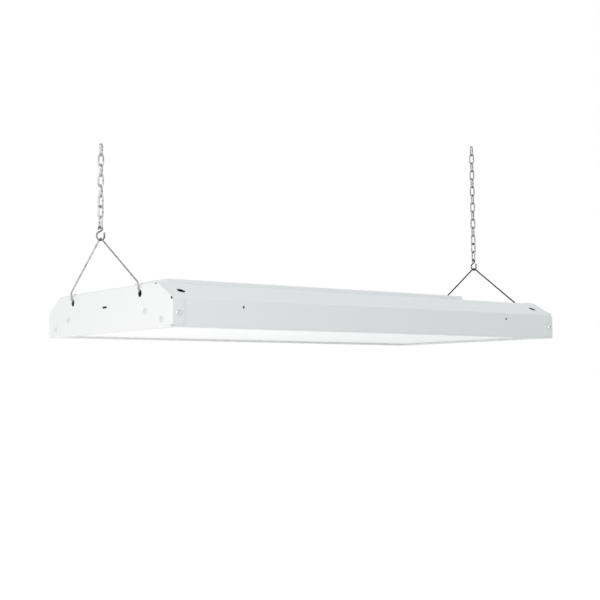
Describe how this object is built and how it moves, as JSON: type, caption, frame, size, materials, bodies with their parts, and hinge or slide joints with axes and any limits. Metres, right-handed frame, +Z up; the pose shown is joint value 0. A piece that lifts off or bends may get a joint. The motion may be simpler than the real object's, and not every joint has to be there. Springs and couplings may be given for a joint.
{
  "type": "hanging shop light",
  "caption": "Wide shallow white shop light: folded housing with a raised driver cover and opal lens, hung by V-shaped wire hangers, S-hooks and link chains.",
  "frame": {"origin": "middle of the fixture's bottom rim, midway between the ends and between the sides", "axes": "+X along the fixture from the short-chain end to the long-chain end, +Y across it, +Z up along the chains"},
  "size_m": [0.6336, 0.3144, 0.2992],
  "materials": {
    "white_sheet": "satin white powder coat",
    "white_rivet": "satin white paint",
    "opal_lens": "frosted opal",
    "white_gasket": "matt foam",
    "black_rubber": "matt",
    "bare_steel": "bright zinc plate",
    "zinc_wire": "bright zinc plate",
    "board_white": "satin solder mask",
    "led_yellow": "clear silicone over phosphor",
    "socket_white": "matt",
    "driver_case": "galvanised",
    "amber_connector": "clear",
    "red_lead": "satin",
    "green_screw": "satin"
  },
  "bodies": {
    "fixture": {"housing_shell": "white_sheet", "left_end_plate": "white_sheet", "right_end_plate": "white_sheet", "driver_cover": "white_sheet", "lens_gasket": "white_gasket", "lens": "opal_lens", "lens_clips": "bare_steel", "light_tray": "white_sheet", "led_boards": "board_white", "leds": "led_yellow", "board_sockets": "socket_white", "board_screws": "bare_steel", "left_driver": "driver_case", "right_driver": "driver_case", "driver_screws": "bare_steel", "splice_connectors": "amber_connector", "tray_grommet": "black_rubber", "output_leads": "red_lead", "ground_screw": "green_screw", "cover_screws": "bare_steel", "end_plate_screws": "bare_steel", "tray_rivets": "white_rivet", "corner_rivets": "white_rivet"},
    "left_hanger": {"left_hanger": "zinc_wire"},
    "left_s_hook": {"left_s_hook": "zinc_wire"},
    "left_chain_link_1": {"left_chain_link_1": "zinc_wire"},
    "left_chain_link_2": {"left_chain_link_2": "zinc_wire"},
    "left_chain_link_3": {"left_chain_link_3": "zinc_wire"},
    "left_chain_link_4": {"left_chain_link_4": "zinc_wire"},
    "left_chain_link_5": {"left_chain_link_5": "zinc_wire"},
    "left_chain_link_6": {"left_chain_link_6": "zinc_wire"},
    "left_chain_link_7": {"left_chain_link_7": "zinc_wire"},
    "left_chain_link_8": {"left_chain_link_8": "zinc_wire"},
    "right_hanger": {"right_hanger": "zinc_wire"},
    "right_s_hook": {"right_s_hook": "zinc_wire"},
    "right_chain_link_1": {"right_chain_link_1": "zinc_wire"},
    "right_chain_link_2": {"right_chain_link_2": "zinc_wire"},
    "right_chain_link_3": {"right_chain_link_3": "zinc_wire"},
    "right_chain_link_4": {"right_chain_link_4": "zinc_wire"},
    "right_chain_link_5": {"right_chain_link_5": "zinc_wire"},
    "right_chain_link_6": {"right_chain_link_6": "zinc_wire"},
    "right_chain_link_7": {"right_chain_link_7": "zinc_wire"},
    "right_chain_link_8": {"right_chain_link_8": "zinc_wire"},
    "right_chain_link_9": {"right_chain_link_9": "zinc_wire"},
    "right_chain_link_10": {"right_chain_link_10": "zinc_wire"},
    "right_chain_link_11": {"right_chain_link_11": "zinc_wire"},
    "right_chain_link_12": {"right_chain_link_12": "zinc_wire"},
    "right_chain_link_13": {"right_chain_link_13": "zinc_wire"},
    "right_chain_link_14": {"right_chain_link_14": "zinc_wire"}
  },
  "joints": [
    {"name": "left_hanger_swing", "type": "hinge", "parent": "fixture", "child": "left_hanger", "pos_m": [-0.3046, 0, 0.04345], "axis": [0, 1, 0], "range_deg": [-7.5, 11.5]},
    {"name": "left_s_hook_swing", "type": "hinge", "parent": "left_hanger", "child": "left_s_hook", "pos_m": [-0.31076, 0, 0.11113], "axis": [0, 1, 0], "range_deg": [-60, 60]},
    {"name": "left_chain_link_1_swing", "type": "hinge", "parent": "left_s_hook", "child": "left_chain_link_1", "pos_m": [-0.31076, 0, 0.12528], "axis": [1, 0, 0], "range_deg": [-60, 60]},
    {"name": "left_chain_link_2_swing", "type": "hinge", "parent": "left_chain_link_1", "child": "left_chain_link_2", "pos_m": [-0.31076, 0, 0.13763], "axis": [0, 1, 0], "range_deg": [-60, 60]},
    {"name": "left_chain_link_3_swing", "type": "hinge", "parent": "left_chain_link_2", "child": "left_chain_link_3", "pos_m": [-0.31076, 0, 0.14998], "axis": [-0.9848, -0.1736, 0], "range_deg": [-60, 60]},
    {"name": "left_chain_link_4_swing", "type": "hinge", "parent": "left_chain_link_3", "child": "left_chain_link_4", "pos_m": [-0.31076, 0, 0.16233], "axis": [0.4226, -0.9063, 0], "range_deg": [-60, 60]},
    {"name": "left_chain_link_5_swing", "type": "hinge", "parent": "left_chain_link_4", "child": "left_chain_link_5", "pos_m": [-0.31076, 0, 0.17468], "axis": [0.7986, 0.6018, 0], "range_deg": [-60, 60]},
    {"name": "left_chain_link_6_swing", "type": "hinge", "parent": "left_chain_link_5", "child": "left_chain_link_6", "pos_m": [-0.31076, 0, 0.18703], "axis": [-0.6018, 0.7986, 0], "range_deg": [-60, 60]},
    {"name": "left_chain_link_7_swing", "type": "hinge", "parent": "left_chain_link_6", "child": "left_chain_link_7", "pos_m": [-0.31076, 0, 0.19938], "axis": [-0.7986, -0.6018, 0], "range_deg": [-60, 60]},
    {"name": "left_chain_link_8_swing", "type": "hinge", "parent": "left_chain_link_7", "child": "left_chain_link_8", "pos_m": [-0.31076, 0, 0.21173], "axis": [0.6018, -0.7986, 0], "range_deg": [-60, 60]},
    {"name": "right_hanger_swing", "type": "hinge", "parent": "fixture", "child": "right_hanger", "pos_m": [0.3046, 0, 0.04345], "axis": [0, 1, 0], "range_deg": [-11.5, 7.5]},
    {"name": "right_s_hook_swing", "type": "hinge", "parent": "right_hanger", "child": "right_s_hook", "pos_m": [0.31076, 0, 0.11113], "axis": [0, 1, 0], "range_deg": [-60, 60]},
    {"name": "right_chain_link_1_swing", "type": "hinge", "parent": "right_s_hook", "child": "right_chain_link_1", "pos_m": [0.31076, 0, 0.12528], "axis": [1, 0, 0], "range_deg": [-60, 60]},
    {"name": "right_chain_link_2_swing", "type": "hinge", "parent": "right_chain_link_1", "child": "right_chain_link_2", "pos_m": [0.31076, 0, 0.13763], "axis": [0.1736, 0.9848, 0], "range_deg": [-60, 60]},
    {"name": "right_chain_link_3_swing", "type": "hinge", "parent": "right_chain_link_2", "child": "right_chain_link_3", "pos_m": [0.31076, 0, 0.14998], "axis": [-0.9781, 0.2079, 0], "range_deg": [-60, 60]},
    {"name": "right_chain_link_4_swing", "type": "hinge", "parent": "right_chain_link_3", "child": "right_chain_link_4", "pos_m": [0.31076, 0, 0.16233], "axis": [0.0872, -0.9962, 0], "range_deg": [-60, 60]},
    {"name": "right_chain_link_5_swing", "type": "hinge", "parent": "right_chain_link_4", "child": "right_chain_link_5", "pos_m": [0.31076, 0, 0.17468], "axis": [0.9563, 0.2924, 0], "range_deg": [-60, 60]},
    {"name": "right_chain_link_6_swing", "type": "hinge", "parent": "right_chain_link_5", "child": "right_chain_link_6", "pos_m": [0.31076, 0, 0.18703], "axis": [-0.2924, 0.9563, 0], "range_deg": [-60, 60]},
    {"name": "right_chain_link_7_swing", "type": "hinge", "parent": "right_chain_link_6", "child": "right_chain_link_7", "pos_m": [0.31076, 0, 0.19938], "axis": [-0.9563, -0.2924, 0], "range_deg": [-60, 60]},
    {"name": "right_chain_link_8_swing", "type": "hinge", "parent": "right_chain_link_7", "child": "right_chain_link_8", "pos_m": [0.31076, 0, 0.21173], "axis": [0.2924, -0.9563, 0], "range_deg": [-60, 60]},
    {"name": "right_chain_link_9_swing", "type": "hinge", "parent": "right_chain_link_8", "child": "right_chain_link_9", "pos_m": [0.31076, 0, 0.22408], "axis": [0.9563, 0.2924, 0], "range_deg": [-60, 60]},
    {"name": "right_chain_link_10_swing", "type": "hinge", "parent": "right_chain_link_9", "child": "right_chain_link_10", "pos_m": [0.31076, 0, 0.23643], "axis": [-0.2924, 0.9563, 0], "range_deg": [-60, 60]},
    {"name": "right_chain_link_11_swing", "type": "hinge", "parent": "right_chain_link_10", "child": "right_chain_link_11", "pos_m": [0.31076, 0, 0.24878], "axis": [-0.9563, -0.2924, 0], "range_deg": [-60, 60]},
    {"name": "right_chain_link_12_swing", "type": "hinge", "parent": "right_chain_link_11", "child": "right_chain_link_12", "pos_m": [0.31076, 0, 0.26113], "axis": [0.2924, -0.9563, 0], "range_deg": [-60, 60]},
    {"name": "right_chain_link_13_swing", "type": "hinge", "parent": "right_chain_link_12", "child": "right_chain_link_13", "pos_m": [0.31076, 0, 0.27348], "axis": [0.9563, 0.2924, 0], "range_deg": [-60, 60]},
    {"name": "right_chain_link_14_swing", "type": "hinge", "parent": "right_chain_link_13", "child": "right_chain_link_14", "pos_m": [0.31076, 0, 0.28583], "axis": [-0.2924, 0.9563, 0], "range_deg": [-60, 60]}
  ]
}
